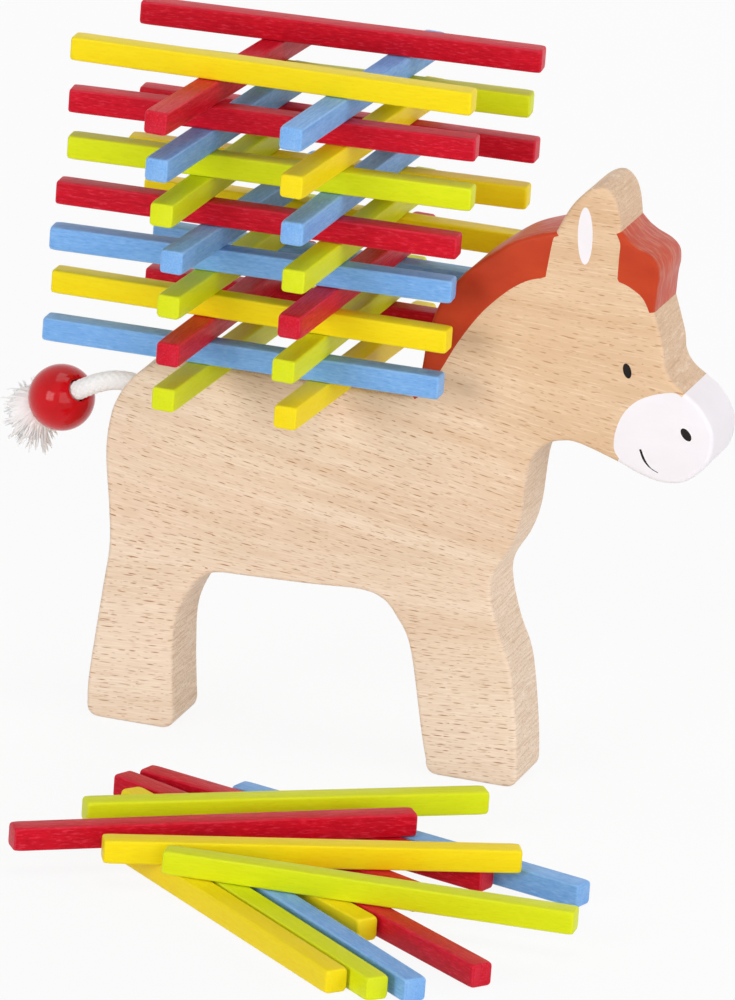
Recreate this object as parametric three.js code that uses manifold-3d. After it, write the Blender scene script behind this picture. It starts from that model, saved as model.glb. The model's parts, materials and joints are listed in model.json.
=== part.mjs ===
// Donkey balancing game: a sawn beech donkey with a cord tail, a crossed stack of
// coloured sticks on its back and a loose heap of the same sticks on the table.
// Millimetres, +Z up, +X towards the head, +Y away from the heap.
import * as THREE from "three";
import { mergeVertices } from "three/addons/utils/BufferGeometryUtils.js";
import Module from "manifold-3d";

// Sticks
const stickLength = 102.6;
const stickSection = 5.9;
const stickEdge = 0.5; // chamfer along every edge
const layerGap = 0.1; // clear gap under each stick

// Donkey board
const boardThickness = 20;
const boardEdge = 1.2; // eased edge all round the sawn outline
const backHeight = 96.8; // table to the flat of the back
const bellyHeight = 43.4;
const hindHoofWidth = 23.2;
const foreHoofWidth = 24.2;
const hoofGap = 66.7; // clear way between the hind and the fore hoof
const hoofCorner = 3.5;
const backLength = 67; // flat of the back, from the rump to the foot of the mane
const heelBehind = 14.3; // hind heel behind the flat of the back

// Tail
const cordDiameter = 5;
const cordClearance = 0.35; // around the cord in its drilled hole and in the bead
const beadDiameter = 17;
const tasselReach = 10.5;
const tasselSpread = 9.5; // radius of the frayed end
const holeDepth = 9;
const holeBevel = 1.5; // eased mouth of the drilled hole
const holeTilt = 4; // degrees that the hole rises towards the tail
const tailDrop = 10.8; // hole below the flat of the back
const tailBehind = 10.9; // hole behind the flat of the back
const beadBehind = 20.4; // middle of the bead behind the hole
const beadDrop = 8.9; // middle of the bead below the hole
const beadAside = 6; // middle of the bead off the board's middle plane
const tailSeat = 1.2; // how far the swinging cord reaches into the hole
const cordStraight = 1; // straight out of the hole
const bendStart = 5; // reach of the bend's start along the hole
const bendEnd = 6.5; // reach of the bend's end along the bead's bore
const rootDepth = 2.8; // depth in the hole where the glued end begins
const endGap = 0.3; // between cord pieces that meet end to end

// Stack on the back
const columnSpread = 31; // between the two sticks that lie across the back
const rowSpread = 49; // between the two sticks that lie along the back
const stackToMane = 41.3; // middle of the stack to the foot of the mane

// Heap on the table
const heapDistance = 45.7; // board to the nearest stick end
const heapShift = 15.6; // of that stick end, from the middle of the stack
const upperNearer = 46.6; // first upper stick's end, nearer than that one
const upperBehind = 24.4; // and further from the head

const colours = {
  beech: 0xe9c9a0,
  cotton: 0xf1efe9,
  beadRed: 0xc4121f,
  red: 0xc41f2e,
  yellow: 0xf0d822,
  lime: 0xd3e12b,
  blue: 0x74a9dd,
};

const wasm = await Module();
wasm.setup();

const table = new THREE.Group();
const tail = new THREE.Group();

function addPiece(parent, name, geometry, colour, roughness) {
  const material = new THREE.MeshStandardMaterial({
    color: colours[colour],
    roughness,
    metalness: 0,
  });
  const piece = new THREE.Mesh(geometry, material);
  piece.name = name;
  parent.add(piece);
  return piece;
}

function solidFrom(geometry) {
  const bare = geometry.clone();
  bare.deleteAttribute("normal");
  bare.deleteAttribute("uv");
  const merged = mergeVertices(bare, 1e-4);
  return new wasm.Manifold(
    new wasm.Mesh({
      numProp: 3,
      vertProperties: merged.attributes.position.array,
      triVerts: new Uint32Array(merged.index.array),
    }),
  );
}

function geometryFrom(solid) {
  const mesh = solid.getMesh();
  const geometry = new THREE.BufferGeometry();
  geometry.setAttribute("position", new THREE.BufferAttribute(mesh.vertProperties, 3));
  geometry.setIndex(new THREE.BufferAttribute(mesh.triVerts, 1));
  geometry.computeVertexNormals();
  return geometry;
}

// Board outline, seen from the heap: x to the head, z up.
const maneFoot = stackToMane;
const backEnd = maneFoot - backLength;
const hindHeel = backEnd - heelBehind;
const hindToe = hindHeel + hindHoofWidth;
const foreHeel = hindToe + hoofGap;
const foreToe = foreHeel + foreHoofWidth;
const tailMouth = new THREE.Vector2(backEnd - tailBehind, backHeight - tailDrop);
const barrel = backHeight - bellyHeight;

// Points given from a corner of the outline: [along x, up z] pairs.
function from(x, z, ...offsets) {
  return offsets.map(([dx, dz]) => new THREE.Vector2(x + dx, z + dz));
}

// Points on the trunk: [along x, share of the way up from the belly to the back] pairs.
function trunk(x, ...offsets) {
  return offsets.map(([dx, share]) => new THREE.Vector2(x + dx, bellyHeight + share * barrel));
}

function boardOutline() {
  const outline = new THREE.Shape();
  const legHeight = bellyHeight - hoofCorner;
  // Rump, round behind the tail, and the back of the hind leg
  outline.moveTo(backEnd, backHeight);
  outline.splineThru([
    ...from(backEnd, backHeight, [-3.7, -2.4], [-7.8, -6.2]),
    tailMouth,
    ...trunk(hindHeel, [1.3, 0.685], [0.6, 0.5], [2.3, 0.235], [3.1, 0.04]),
    ...from(hindHeel, bellyHeight, [2, -10]),
    new THREE.Vector2(hindHeel, hoofCorner + 0.2 * legHeight),
    new THREE.Vector2(hindHeel, hoofCorner),
  ]);
  outline.quadraticCurveTo(hindHeel, 0, hindHeel + hoofCorner, 0);
  outline.lineTo(hindToe - hoofCorner, 0);
  outline.quadraticCurveTo(hindToe, 0, hindToe, hoofCorner);
  // Inside of the hind leg, belly and inside of the fore leg
  outline.splineThru([
    new THREE.Vector2(hindToe - 1.2, hoofCorner + 0.35 * legHeight),
    ...from(hindToe, bellyHeight, [-1.2, -14.5], [2.1, -5.8], [6, -1.2]),
    new THREE.Vector2(hindToe + 10, bellyHeight),
  ]);
  outline.splineThru([
    ...from(foreHeel, bellyHeight, [-34, 0.9], [-21, 1.7], [-14.6, 0.4]),
    ...from(foreHeel, bellyHeight, [-10.4, -3.7], [-6.2, -11.4]),
    new THREE.Vector2(foreHeel - 1.9, hoofCorner + 0.2 * legHeight),
    new THREE.Vector2(foreHeel, hoofCorner),
  ]);
  outline.quadraticCurveTo(foreHeel, 0, foreHeel + hoofCorner, 0);
  outline.lineTo(foreToe - hoofCorner, 0);
  outline.quadraticCurveTo(foreToe, 0, foreToe, hoofCorner);
  // Front of the fore leg, chest and throat
  outline.splineThru([
    new THREE.Vector2(foreToe - 0.9, hoofCorner + 0.25 * legHeight),
    ...from(foreToe, bellyHeight, [-3.6, -13.5], [-7.5, -4]),
    ...trunk(foreToe, [-10.2, 0.095], [-10.2, 0.21], [-6.4, 0.35], [-4.3, 0.495], [-3, 0.775]),
    ...from(foreToe, backHeight, [0.6, -6.4], [5, -4.5], [9.6, -4.6]),
    // Chin, muzzle and nose
    ...from(foreToe, backHeight, [19.5, -7.6], [25.5, -9.9], [31.4, -11], [37.4, -9.7]),
    ...from(foreToe, backHeight, [42.5, -4.4], [43.6, 1.6], [42.3, 6]),
    ...from(foreToe, backHeight, [38.6, 10.6], [32.2, 15], [29.8, 18.6], [29, 23]),
    ...from(foreToe, backHeight, [25.9, 32.2]),
  ]);
  // Forelock, with a crease where it flares up to the ear
  outline.splineThru(
    from(foreToe, backHeight, [26.1, 37.8], [26.5, 41.2], [26, 44.2], [23.9, 46.3], [20.1, 48]),
  );
  outline.splineThru(from(foreToe, backHeight, [17.9, 49.4], [15.8, 51.4]));
  // Ear
  outline.splineThru([
    ...from(foreToe, backHeight, [14.9, 56.4], [13.3, 60.1], [10.4, 62.1]),
    ...from(foreToe, backHeight, [6.8, 60.7], [2.6, 55.9], [-0.8, 48.9]),
  ]);
  // Mane, down the nape to the flat of the back
  outline.splineThru([
    ...from(foreToe, backHeight, [-10, 45.4], [-16.9, 40.5], [-23.8, 34], [-29, 26.4]),
    ...from(maneFoot, backHeight, [1.2, 18], [0.2, 9.5], [-0.3, 4.2]),
    ...from(maneFoot, backHeight, [-1.8, 1]),
    new THREE.Vector2(maneFoot - 4.5, backHeight),
  ]);
  outline.closePath();
  return outline;
}

// The hole for the tail runs into the rump from its mouth, rising to the outside.
const outward = new THREE.Vector3(-1, 0, 0).applyAxisAngle(
  new THREE.Vector3(0, 1, 0),
  THREE.MathUtils.degToRad(holeTilt),
);
const mouth = new THREE.Vector3(tailMouth.x, 0, tailMouth.y);

// Turns a lathe piece, made along +Y, onto a line through a point.
function alongLine(geometry, start, direction) {
  const turn = new THREE.Quaternion().setFromUnitVectors(
    new THREE.Vector3(0, 1, 0),
    direction,
  );
  geometry.applyQuaternion(turn);
  geometry.translate(start.x, start.y, start.z);
  return geometry;
}

function lathe(profile, sides) {
  return new THREE.LatheGeometry(
    profile.map(([radius, along]) => new THREE.Vector2(radius, along)),
    sides,
  );
}

function donkeyBoard() {
  const board = new THREE.ExtrudeGeometry(boardOutline(), {
    depth: boardThickness - 2 * boardEdge,
    curveSegments: 3,
    bevelThickness: boardEdge,
    bevelSize: boardEdge,
    bevelOffset: -boardEdge,
    bevelSegments: 3,
  });
  board.translate(0, 0, boardEdge - boardThickness / 2);
  board.rotateX(Math.PI / 2);
  const holeRadius = cordDiameter / 2 + cordClearance;
  const clear = 2 * holeBevel; // the drill starts this far outside the mouth
  const drill = lathe(
    [
      [0, -holeDepth],
      [holeRadius, -holeDepth],
      [holeRadius, -holeBevel],
      [holeRadius + holeBevel + clear, clear],
      [0, clear],
    ],
    20,
  );
  alongLine(drill, mouth, outward);
  return geometryFrom(solidFrom(board).subtract(solidFrom(drill)));
}

addPiece(table, "donkey_body", donkeyBoard(), "beech", 0.55);

// Tail: the glued end in the hole, then the free cord through the bead to the frayed end.
const beadCentre = mouth
  .clone()
  .add(new THREE.Vector3(-beadBehind, beadAside, -beadDrop));
const beadAxis = new THREE.Vector3(0.723, -0.478, 0.499).normalize();
const beadRadius = beadDiameter / 2;
const cordRadius = cordDiameter / 2;
const boreRadius = cordRadius + cordClearance;

function pointOn(start, direction, distance) {
  return start.clone().addScaledVector(direction, distance);
}

function cordRoot() {
  const root = lathe(
    [
      [0, endGap - holeDepth],
      [cordRadius, endGap - holeDepth],
      [cordRadius, -rootDepth],
      [0, -rootDepth],
    ],
    12,
  );
  return alongLine(root, mouth, outward);
}

// The cord comes straight out of its hole, bends over and goes straight through the bead.
const bendFrom = pointOn(mouth, outward, cordStraight);
const bendTo = pointOn(beadCentre, beadAxis, beadRadius);
const bend = new THREE.CubicBezierCurve3(
  bendFrom,
  pointOn(bendFrom, outward, bendStart),
  pointOn(bendTo, beadAxis, bendEnd),
  bendTo,
);
const cordRoute = new THREE.CatmullRomCurve3([
  pointOn(mouth, outward, -tailSeat),
  ...bend.getPoints(8),
  pointOn(beadCentre, beadAxis, (2 * beadRadius) / 3),
  pointOn(beadCentre, beadAxis, beadRadius / 3),
  beadCentre,
  pointOn(beadCentre, beadAxis, -beadRadius / 3),
  pointOn(beadCentre, beadAxis, (-2 * beadRadius) / 3),
  pointOn(beadCentre, beadAxis, -beadRadius - endGap),
]);

function freeCord() {
  const section = new THREE.Shape();
  section.absarc(0, 0, cordRadius, 0, 2 * Math.PI);
  return new THREE.ExtrudeGeometry(section, {
    extrudePath: cordRoute,
    steps: 24,
    curveSegments: 5,
  });
}

function bead() {
  const profile = [];
  const arcSteps = 12;
  const first = Math.asin(boreRadius / beadRadius);
  for (let step = 0; step <= arcSteps; step++) {
    const angle = Math.PI - first - ((Math.PI - 2 * first) * step) / arcSteps;
    profile.push([beadRadius * Math.sin(angle), beadRadius * Math.cos(angle)]);
  }
  profile.push(profile[0]);
  return alongLine(lathe(profile, 22), beadCentre, beadAxis);
}

// The frayed end opens like a bowl behind the bead.
function tassel() {
  const start = pointOn(beadCentre, beadAxis, -beadRadius - 2 * endGap);
  const bowl = lathe(
    [
      [0, 0],
      [cordRadius, 0],
      [0.6 * tasselSpread, 0.2 * tasselReach],
      [tasselSpread, 0.55 * tasselReach],
      [0.85 * tasselSpread, 0.8 * tasselReach],
      [0.4 * tasselSpread, tasselReach],
      [0, tasselReach],
    ],
    14,
  );
  return alongLine(bowl, start, beadAxis.clone().negate());
}

addPiece(tail, "tail_cord_root", cordRoot(), "cotton", 0.95);
addPiece(tail, "tail_cord", freeCord(), "cotton", 0.95);
addPiece(tail, "tail_bead", bead(), "beadRed", 0.2);
addPiece(tail, "tail_tassel", tassel(), "cotton", 0.95);

// One stick along +X with its middle at the origin and its underside at z = 0.
function stickGeometry() {
  const half = stickSection / 2;
  const flat = half - stickEdge;
  const section = new THREE.Shape(
    [
      [flat, -half],
      [half, -flat],
      [half, flat],
      [flat, half],
      [-flat, half],
      [-half, flat],
      [-half, -flat],
      [-flat, -half],
    ].map(([x, y]) => new THREE.Vector2(x, y)),
  );
  const stick = new THREE.ExtrudeGeometry(section, {
    depth: stickLength - 2 * stickEdge,
    bevelThickness: stickEdge,
    bevelSize: stickEdge,
    bevelOffset: -stickEdge,
    bevelSegments: 1,
  });
  stick.translate(0, 0, stickEdge - stickLength / 2);
  stick.rotateY(Math.PI / 2);
  stick.translate(0, 0, half);
  return stick;
}

function addStick(name, colour, x, y, z, heading) {
  const stick = addPiece(table, name, stickGeometry(), colour, 0.4);
  stick.position.set(x, y, z);
  stick.rotation.z = THREE.MathUtils.degToRad(heading);
}

const layerPitch = stickSection + layerGap;

// Stack, from the back up: each layer's two sticks as [colour, aside, along, turn], off
// their column or row, along their own length and about the vertical in degrees.
const acrossLayers = [
  [["lime", 5.3, -0.4, -2], ["yellow", 5.5, 1.1, -2]],
  [["red", 5.3, -1.5, -1.2], ["lime", 3.3, 0.5, -0.8]],
  [["lime", 5.6, -0.8, -2.5], ["red", 5, -1.2, -1.3]],
  [["blue", 6.6, -2.5, -3], ["lime", 5.1, -2, -0.9]],
  [["lime", 2, -3.9, -1.1], ["blue", 4, -2, -1]],
  [["blue", 2, -6.5, -2.5], ["yellow", 4.5, -2.5, -2.5]],
  [["red", 2, -7, -3.5], ["blue", 3.5, -2.5, -2.5]],
];
const alongLayers = [
  [["blue", -0.5, -0.5, 2], ["red", 2.5, 8.3, 0.5]],
  [["yellow", 0.5, 0.5, 1], ["blue", 2, 9.8, 1]],
  [["blue", 0.5, 0, 4.5], ["yellow", 1, 7, 1]],
  [["red", -0.5, 1, 3.5], ["yellow", -1, 3.5, 5.5]],
  [["lime", 1, 3, 5], ["red", 1.5, 4.5, 3.5]],
  [["red", 2, 2.5, 6.5], ["lime", -2.4, 2.8, 6.2]],
  [["yellow", 3.5, 1, 3], ["red", -2.5, 5, 6]],
];

acrossLayers.forEach((layer, level) => {
  const z = backHeight + layerGap + 2 * level * layerPitch;
  layer.forEach(([colour, aside, along, turn], second) => {
    const column = (second - 0.5) * columnSpread;
    const side = ["rear", "front"][second];
    addStick(`across_${level + 1}_${side}`, colour, column + aside, along, z, 90 + turn);
  });
});

alongLayers.forEach((layer, level) => {
  const z = backHeight + layerGap + (2 * level + 1) * layerPitch;
  layer.forEach(([colour, aside, along, turn], second) => {
    const row = (second - 0.5) * rowSpread;
    const side = ["near", "far"][second];
    addStick(`along_${level + 1}_${side}`, colour, along, row + aside, z, turn);
  });
});

// Heap: two fans of sticks. Each stick lies on the near side of the one before it, as
// [colour, start, gap, heading]: how far along that one it begins (before it where
// negative), the clear gap at that tight end and its own heading in degrees.
const lowerFan = [
  ["blue", 0, 0, -16],
  ["red", -23.2, 0.9, -16.5],
  ["red", -0.8, 1.9, -25.5],
  ["red", 47.3, 1.8, -36.5],
  ["yellow", -37.5, 0.4, -37],
  ["blue", 39.3, 0.4, -41],
  ["lime", -4.1, 2.1, -41],
  ["yellow", -7.8, 0.8, -41],
];
const upperFan = [
  ["lime", 0, 0, 33.5],
  ["red", -23, 10.4, 35],
  ["yellow", 20, 4.8, 25],
  ["lime", 14.5, 0.6, 4],
];

function addFan(name, sticks, start, z) {
  let end = start.clone();
  let before = new THREE.Vector2(1, 0);
  sticks.forEach(([colour, along, gap, heading], index) => {
    const turn = THREE.MathUtils.degToRad(heading);
    const way = new THREE.Vector2(Math.cos(turn), Math.sin(turn));
    if (index > 0) {
      // The tight end is the later of the two starts.
      const tight = end.clone().addScaledVector(before, Math.max(along, 0));
      const lead = along > 0 ? before : way;
      const near = new THREE.Vector2(lead.y, -lead.x);
      tight.addScaledVector(near, stickSection + gap);
      end = tight.addScaledVector(way, Math.min(along, 0));
    }
    before = way;
    const middle = end.clone().addScaledVector(way, stickLength / 2);
    addStick(`${name}_${index + 1}`, colour, middle.x, middle.y, z, heading);
  });
}

const heapStart = new THREE.Vector2(heapShift, -boardThickness / 2 - heapDistance);
const upperStart = heapStart.clone().add(new THREE.Vector2(-upperBehind, -upperNearer));
addFan("heap_lower", lowerFan, heapStart, 0);
addFan("heap_upper", upperFan, upperStart, layerPitch);

// The frame's origin is the middle of the footprint, on the table, without the tail.
const extent = new THREE.Box3().setFromObject(table, true);
const middle = extent.getCenter(new THREE.Vector3());
const game = new THREE.Group();
game.add(table, tail);
game.position.set(-middle.x, -middle.y, -extent.min.z);

export default game;
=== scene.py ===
import json
import math
import random

import bpy
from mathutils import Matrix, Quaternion, Vector
from mathutils.geometry import delaunay_2d_cdt


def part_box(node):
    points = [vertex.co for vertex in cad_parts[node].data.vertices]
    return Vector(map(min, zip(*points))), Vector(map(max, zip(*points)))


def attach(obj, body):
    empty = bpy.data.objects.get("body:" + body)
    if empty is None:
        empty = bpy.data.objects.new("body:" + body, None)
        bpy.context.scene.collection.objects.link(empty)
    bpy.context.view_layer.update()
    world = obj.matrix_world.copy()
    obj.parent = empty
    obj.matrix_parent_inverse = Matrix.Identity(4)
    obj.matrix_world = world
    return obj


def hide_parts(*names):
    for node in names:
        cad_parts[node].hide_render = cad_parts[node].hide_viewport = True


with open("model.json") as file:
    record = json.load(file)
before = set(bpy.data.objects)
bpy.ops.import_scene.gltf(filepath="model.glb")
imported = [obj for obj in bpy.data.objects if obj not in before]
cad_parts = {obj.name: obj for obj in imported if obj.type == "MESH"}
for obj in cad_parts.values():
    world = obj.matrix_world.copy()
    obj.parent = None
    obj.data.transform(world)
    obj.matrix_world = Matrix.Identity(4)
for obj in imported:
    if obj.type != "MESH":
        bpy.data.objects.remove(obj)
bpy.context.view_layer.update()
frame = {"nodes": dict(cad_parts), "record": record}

MM = 0.001

# Board sizes in millimetres, measured along x from the middle of the stack and up from the table.
THICKNESS = 20.0
EASED_EDGE = 1.2
BACK = 96.8
BELLY = 43.4
HOOF_CORNER = 3.5
MANE_FOOT = 41.3
BACK_END = -25.7
HIND_HEEL = -40.0
HIND_TOE = -16.8
FORE_HEEL = 49.9
FORE_TOE = 74.1
TAIL_MOUTH = (-36.6, 86.0)
LEG = BELLY - HOOF_CORNER
BARREL = BACK - BELLY

BOARD_LOW, BOARD_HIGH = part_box("donkey_body")
ORIGIN = Vector((BOARD_LOW[0] - HIND_HEEL * MM, (BOARD_LOW[1] + BOARD_HIGH[1]) / 2, 0))


def at(x, y, z):
    """A point in the frame, from millimetres off the stack's middle, the board's middle and the table."""
    return ORIGIN + Vector((x, y, z)) * MM


# Camera

CAMERA_PLACE = (869.24, -2807.35, 1012.75)
CAMERA_TARGET = (45.04, -60.0, 85.77)
CAMERA_ROLL = 4.17
SENSOR_WIDTH = 36
FOCAL_LENGTH = 603.4
VIEW_DEPTH = 20


def make_camera():
    data = bpy.data.cameras.new("camera")
    data.sensor_fit = "HORIZONTAL"
    data.sensor_width = SENSOR_WIDTH
    data.lens = FOCAL_LENGTH
    data.clip_end = VIEW_DEPTH
    camera = bpy.data.objects.new("camera", data)
    bpy.context.collection.objects.link(camera)
    camera.location = at(*CAMERA_PLACE)
    target = at(*CAMERA_TARGET)
    roll = Quaternion((0, 0, 1), math.radians(CAMERA_ROLL))
    camera.rotation_mode = "QUATERNION"
    camera.rotation_quaternion = (target - camera.location).to_track_quat("-Z", "Y") @ roll
    bpy.context.scene.camera = camera


make_camera()


# Node trees

# Sockets of a colour mix: its share, its two colours and its result
MIX_FACTOR, MIX_A, MIX_B, MIX_RESULT = 0, 6, 7, 2


class Paint:
    """One material. Each call adds a node and returns the output that the next one takes."""

    def __init__(self, name):
        self.material = bpy.data.materials.new(name)
        self.material.use_nodes = True
        self.tree = self.material.node_tree
        self.shader = self.tree.nodes["Principled BSDF"]

    def feed(self, socket, value):
        if isinstance(value, bpy.types.NodeSocket):
            self.tree.links.new(value, socket)
        else:
            socket.default_value = value

    def add(self, kind, inputs, output=0, **settings):
        node = self.tree.nodes.new("ShaderNode" + kind)
        for key, value in settings.items():
            setattr(node, key, value)
        for key, value in inputs.items():
            self.feed(node.inputs[key], value)
        return node.outputs[output]

    def set(self, **values):
        for key, value in values.items():
            self.feed(self.shader.inputs[key.replace("_", " ").title()], value)

    def math(self, operation, a, b=0.0):
        return self.add("Math", {0: a, 1: b}, operation=operation)

    def vector(self, operation, a, b):
        return self.add("VectorMath", {0: a, 1: b}, operation=operation)

    def split(self, vector):
        node = self.tree.nodes.new("ShaderNodeSeparateXYZ")
        self.feed(node.inputs[0], vector)
        return node.outputs

    def join(self, x, y, z):
        return self.add("CombineXYZ", {0: x, 1: y, 2: z})

    def place(self, origin=(0, 0, 0)):
        """Where a point of the object lies, in millimetres from the origin."""
        spot = self.vector("SUBTRACT", self.add("TexCoord", {}, output="Object"), tuple(origin))
        return self.vector("MULTIPLY", spot, (1 / MM, 1 / MM, 1 / MM))

    def facing(self):
        """1 on the board's flat faces, 0 on its sawn edges."""
        normal = self.add("TexCoord", {}, output="Normal")
        return self.math("ABSOLUTE", self.split(normal)[1])

    def stretch(self, coordinates, size):
        """Coordinates in units of the given size in millimetres along x, y and z."""
        return self.vector("MULTIPLY", coordinates, tuple(1 / s for s in size))

    def noise(self, coordinates, size, detail=2.0, roughness=0.5):
        inputs = {"Vector": self.stretch(coordinates, size), "Scale": 1.0,
                  "Detail": detail, "Roughness": roughness}
        return self.add("TexNoise", inputs)

    def range(self, value, low, high, to_low=0.0, to_high=1.0, curve="LINEAR"):
        """The value moved from the span low to high into the span to_low to to_high, and held there."""
        inputs = {"Value": value, "From Min": low, "From Max": high,
                  "To Min": to_low, "To Max": to_high}
        return self.add("MapRange", inputs, interpolation_type=curve)

    def ease(self, value, low, high, to_low, to_high):
        """As range, but with a soft start and end."""
        return self.range(value, low, high, to_low, to_high, "SMOOTHSTEP")

    def mix(self, factor, a, b):
        inputs = {MIX_FACTOR: factor, MIX_A: a, MIX_B: b}
        return self.add("Mix", inputs, output=MIX_RESULT, data_type="RGBA")

    def gloss(self, level, straight_on):
        """Specular level, and the share of it that is left where the surface faces the viewer."""
        self.shader.inputs["Specular IOR Level"].default_value = level
        self.shader.inputs["Specular Tint"].default_value = (straight_on, straight_on, straight_on, 1.0)

    def bump(self, height, distance, strength):
        inputs = {"Height": height, "Distance": distance * MM, "Strength": strength}
        return self.add("Bump", inputs)

    def flecks(self, coordinates, cell, half_length, half_width):
        """Short dashes along x, one in each random cell: 1 in the middle of a dash, 0 outside it."""
        rim, core = 1.3, 0.25
        faintest = 0.2
        scaled = self.stretch(coordinates, cell)
        node = self.tree.nodes.new("ShaderNodeTexVoronoi")
        self.feed(node.inputs["Vector"], scaled)
        self.feed(node.inputs["Scale"], 1.0)
        away = self.vector("SUBTRACT", scaled, node.outputs["Position"])
        away = self.vector("MULTIPLY", away, cell)
        x, _, z = self.split(away)
        chance = self.split(node.outputs["Color"])
        length = self.range(chance[0], 0, 1, half_length[0], half_length[1])
        width = self.range(chance[1], 0, 1, half_width[0], half_width[1])
        along = self.math("DIVIDE", x, length)
        beside = self.math("DIVIDE", z, width)
        reach = self.math("ADD", self.math("POWER", self.math("ABSOLUTE", along), 2.0),
                          self.math("POWER", self.math("ABSOLUTE", beside), 2.0))
        dash = self.range(reach, rim, core)
        strength = self.range(chance[2], 0, 1, faintest, 1.0)
        return self.math("MULTIPLY", dash, strength)


def linear(red, green, blue):
    """A colour given as 0 to 255 in sRGB, as the shaders take it."""
    def channel(value):
        share = value / 255
        return share / 12.92 if share <= 0.04045 else ((share + 0.055) / 1.055) ** 2.4
    return channel(red), channel(green), channel(blue), 1.0


def beech():
    """Pale beech: soft bands, fine fibres and short brown dashes, with end grain on the sawn edges."""
    paint = Paint("beech")
    place = paint.place(ORIGIN)
    x, y, z = paint.split(place)
    face = paint.ease(paint.facing(), 0.3, 0.9, 0.0, 1.0)
    sawn = paint.range(face, 0, 1, 1.0, 0.0)
    headward = paint.ease(paint.math("ADD", x, z), 115.0, 185.0, 0.0, 1.0)
    footward = paint.ease(z, 60.0, 15.0, 0.0, 0.5)

    # The grain rises a little towards the head in the legs, drops in the trunk and is level in the head.
    slope = paint.math("ADD", paint.ease(z, 25.0, 65.0, -0.07, 0.15),
                       paint.ease(z, 80.0, 130.0, 0.0, -0.13))
    sway = paint.range(paint.noise(place, (60, 60, 30), detail=1.0), 0, 1, -1.5, 1.5)
    height = paint.math("ADD", paint.math("ADD", z, paint.math("MULTIPLY", x, slope)), sway)
    grain = paint.join(x, y, height)
    other_grain = paint.vector("ADD", grain, (31.0, 17.0, 53.0))
    bands = paint.noise(grain, (150, 60, 5.5), detail=4.0, roughness=0.6)
    fibres = paint.noise(grain, (10, 5, 0.4), detail=3.0, roughness=0.65)
    end_rings = paint.noise(grain, (6, 14, 0.6), detail=3.0, roughness=0.7)
    end_pores = paint.noise(place, (0.5, 0.7, 0.4), detail=1.0)
    cloud = paint.noise(place, (26, 26, 18), detail=2.0)
    long_flecks = paint.flecks(grain, (5.0, 9.0, 1.8), (0.8, 1.7), (0.1, 0.16))
    short_flecks = paint.flecks(other_grain, (3.6, 6.0, 1.2), (0.4, 0.9), (0.09, 0.14))

    # Flecks are faint on the sawn edges and fainter in the head than in the trunk.
    clear = paint.math("MULTIPLY", paint.range(face, 0, 1, 0.25, 1.0),
                       paint.range(headward, 0, 1, 1.0, 0.7))
    long_flecks = paint.math("MULTIPLY", long_flecks, clear)
    short_flecks = paint.math("MULTIPLY", short_flecks, clear)
    ring_lines = paint.math("MULTIPLY", paint.range(end_rings, 0.48, 0.66, 0.0, 0.6), sawn)
    pore_dots = paint.math("MULTIPLY", paint.range(end_pores, 0.54, 0.68, 0.0, 0.5), sawn)

    pale = paint.mix(headward, linear(247, 228, 206), linear(236, 204, 169))
    warm = paint.mix(headward, linear(229, 199, 170), linear(218, 178, 138))
    rosy = paint.mix(headward, linear(244, 216, 193), linear(232, 197, 158))
    sawn_colour = paint.mix(headward, linear(247, 227, 207), linear(228, 199, 171))
    colour = paint.mix(paint.range(bands, 0.34, 0.66), warm, pale)
    colour = paint.mix(paint.range(cloud, 0.4, 0.7, 0.0, 0.6), colour, rosy)
    colour = paint.mix(footward, colour, linear(249, 231, 211))
    colour = paint.mix(paint.range(face, 0, 1, 0.75, 0.0), colour, sawn_colour)
    colour = paint.mix(paint.range(fibres, 0.38, 0.72, 0.0, 0.55), colour, linear(218, 184, 152))
    colour = paint.mix(paint.range(fibres, 0.46, 0.28, 0.0, 0.5), colour, linear(251, 232, 211))
    colour = paint.mix(ring_lines, colour, linear(208, 172, 138))
    colour = paint.mix(pore_dots, colour, linear(196, 158, 124))
    colour = paint.mix(paint.math("MULTIPLY", short_flecks, 0.7), colour, linear(188, 143, 105))
    colour = paint.mix(long_flecks, colour, linear(174, 118, 73))
    relief = paint.math("SUBTRACT", paint.math("MULTIPLY", fibres, 0.5), long_flecks)
    paint.set(base_color=colour, roughness=paint.range(fibres, 0.3, 0.7, 0.5, 0.64))
    paint.set(normal=paint.bump(relief, 0.03, 0.5))
    paint.gloss(0.4, 0.4)
    return paint.material


def brushed_paint(name, colour, deeper, roughness, thin_coat_and_sheen=None):
    """A coat on the board, a little uneven, with the grain just felt through it.

    The last argument is the colour of pale streaks on the sawn edges: partly where the coat lies thin,
    partly a painted sheen.
    """
    paint = Paint(name)
    place = paint.place()
    cloud = paint.noise(place, (11, 9, 7), detail=3.0)
    fibres = paint.noise(place, (9, 0.6, 0.5), detail=2.0)
    base = paint.mix(paint.range(cloud, 0.3, 0.7), deeper, colour)
    base = paint.mix(paint.range(fibres, 0.45, 0.75, 0.0, 0.3), base, deeper)
    if thin_coat_and_sheen:
        # Pale streaks on the sawn edges: partly thin coat over the wood, partly painted sheen.
        thin_coat_and_sheen_streaks = paint.noise(place, (4.5, 1.2, 4.5), detail=3.0, roughness=0.65)
        sawn = paint.ease(paint.facing(), 0.3, 0.8, 0.55, 0.0)
        thin_coat_and_sheen_streaks = paint.math("MULTIPLY", paint.range(thin_coat_and_sheen_streaks, 0.44, 0.66), sawn)
        base = paint.mix(thin_coat_and_sheen_streaks, base, thin_coat_and_sheen)
    dullness = paint.range(cloud, 0.3, 0.7, roughness - 0.05, roughness + 0.07)
    paint.set(base_color=base, roughness=dullness)
    paint.set(normal=paint.bump(fibres, 0.015, 0.6))
    paint.gloss(0.5, 0.25)
    return paint.material


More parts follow.
